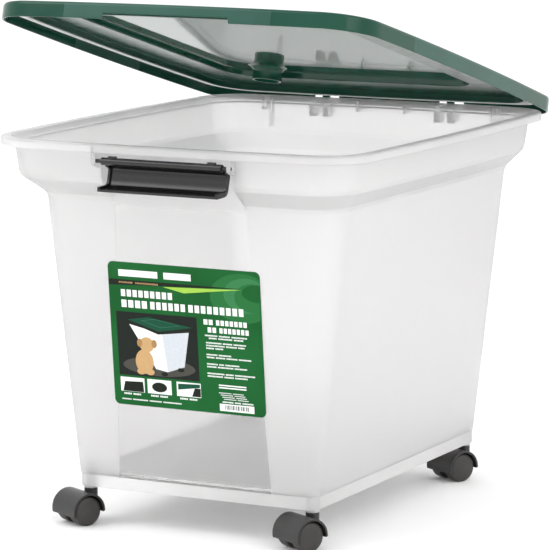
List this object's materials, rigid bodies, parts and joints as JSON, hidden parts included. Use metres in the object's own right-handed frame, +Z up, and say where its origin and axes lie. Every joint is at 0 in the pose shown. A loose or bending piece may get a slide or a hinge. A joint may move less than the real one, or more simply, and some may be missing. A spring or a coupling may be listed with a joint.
{
  "type": "pet food bin",
  "caption": "Wheeled pet food bin: a tapered translucent tub with a hinged green lid, a gasket, a swing latch at the front, a label and swivelling casters.",
  "frame": {"origin": "on the floor under the casters, at the centre of the bounding box at rest", "axes": "+Z up; -Y is the front, with the latch and the label; +Y is the back, with the lid hinge; +X is to the right as seen from the front"},
  "size_m": [0.449, 0.561, 0.566],
  "materials": {
    "tub": "translucent natural polypropylene, satin outside with a polished front panel",
    "lid": "dark green moulded polypropylene, satin skirt and polished central panel",
    "gasket": "matt white foam rubber",
    "latch": "black moulded plastic, semi-gloss",
    "label": "printed film with a satin coat",
    "hood": "dark grey moulded nylon",
    "wheel": "dark grey moulded nylon",
    "steel": "zinc-plated steel"
  },
  "bodies": {
    "tub": {"bin_shell": "tub", "label": "label", "caster_stem_front_left": "steel", "grip_ring_front_left": "steel", "caster_stem_front_right": "steel", "grip_ring_front_right": "steel", "caster_stem_back_left": "steel", "grip_ring_back_left": "steel", "caster_stem_back_right": "steel", "grip_ring_back_right": "steel"},
    "lid": {"lid": "lid", "lid_gasket": "gasket"},
    "latch": {"latch_handle": "latch"},
    "caster_front_left": {"caster_hood_front_left": "hood", "caster_axle_front_left": "steel"},
    "wheel_front_left_left": {"wheel_front_left_left": "wheel"},
    "wheel_front_left_right": {"wheel_front_left_right": "wheel"},
    "caster_front_right": {"caster_hood_front_right": "hood", "caster_axle_front_right": "steel"},
    "wheel_front_right_left": {"wheel_front_right_left": "wheel"},
    "wheel_front_right_right": {"wheel_front_right_right": "wheel"},
    "caster_back_left": {"caster_hood_back_left": "hood", "caster_axle_back_left": "steel"},
    "wheel_back_left_left": {"wheel_back_left_left": "wheel"},
    "wheel_back_left_right": {"wheel_back_left_right": "wheel"},
    "caster_back_right": {"caster_hood_back_right": "hood", "caster_axle_back_right": "steel"},
    "wheel_back_right_left": {"wheel_back_right_left": "wheel"},
    "wheel_back_right_right": {"wheel_back_right_right": "wheel"}
  },
  "joints": [
    {"name": "lid_hinge", "type": "hinge", "parent": "tub", "child": "lid", "pos_m": [0, 0.2731, 0.4135], "axis": [-1, 0, 0], "range_deg": [-14.4, 85]},
    {"name": "latch_pivot", "type": "hinge", "parent": "tub", "child": "latch", "pos_m": [0, -0.2694, 0.403], "axis": [-1, 0, 0], "range_deg": [-5, 180]},
    {"name": "front_left_swivel", "type": "hinge", "parent": "tub", "child": "caster_front_left", "pos_m": [-0.1333, -0.1894, 0.032], "axis": [0, 0, 1], "continuous": true},
    {"name": "front_left_left_wheel_spin", "type": "hinge", "parent": "caster_front_left", "child": "wheel_front_left_left", "pos_m": [-0.14071, -0.20358, 0.016], "axis": [0.8862, -0.4633, 0], "continuous": true},
    {"name": "front_left_right_wheel_spin", "type": "hinge", "parent": "caster_front_left", "child": "wheel_front_left_right", "pos_m": [-0.14071, -0.20358, 0.016], "axis": [0.8862, -0.4633, 0], "continuous": true},
    {"name": "front_right_swivel", "type": "hinge", "parent": "tub", "child": "caster_front_right", "pos_m": [0.1333, -0.1894, 0.032], "axis": [0, 0, 1], "continuous": true},
    {"name": "front_right_left_wheel_spin", "type": "hinge", "parent": "caster_front_right", "child": "wheel_front_right_left", "pos_m": [0.12589, -0.20358, 0.016], "axis": [0.8862, -0.4633, 0], "continuous": true},
    {"name": "front_right_right_wheel_spin", "type": "hinge", "parent": "caster_front_right", "child": "wheel_front_right_right", "pos_m": [0.12589, -0.20358, 0.016], "axis": [0.8862, -0.4633, 0], "continuous": true},
    {"name": "back_left_swivel", "type": "hinge", "parent": "tub", "child": "caster_back_left", "pos_m": [-0.1333, 0.1986, 0.032], "axis": [0, 0, 1], "continuous": true},
    {"name": "back_left_left_wheel_spin", "type": "hinge", "parent": "caster_back_left", "child": "wheel_back_left_left", "pos_m": [-0.14071, 0.18442, 0.016], "axis": [0.8862, -0.4633, 0], "continuous": true},
    {"name": "back_left_right_wheel_spin", "type": "hinge", "parent": "caster_back_left", "child": "wheel_back_left_right", "pos_m": [-0.14071, 0.18442, 0.016], "axis": [0.8862, -0.4633, 0], "continuous": true},
    {"name": "back_right_swivel", "type": "hinge", "parent": "tub", "child": "caster_back_right", "pos_m": [0.1333, 0.1986, 0.032], "axis": [0, 0, 1], "continuous": true},
    {"name": "back_right_left_wheel_spin", "type": "hinge", "parent": "caster_back_right", "child": "wheel_back_right_left", "pos_m": [0.12589, 0.18442, 0.016], "axis": [0.8862, -0.4633, 0], "continuous": true},
    {"name": "back_right_right_wheel_spin", "type": "hinge", "parent": "caster_back_right", "child": "wheel_back_right_right", "pos_m": [0.12589, 0.18442, 0.016], "axis": [0.8862, -0.4633, 0], "continuous": true}
  ]
}
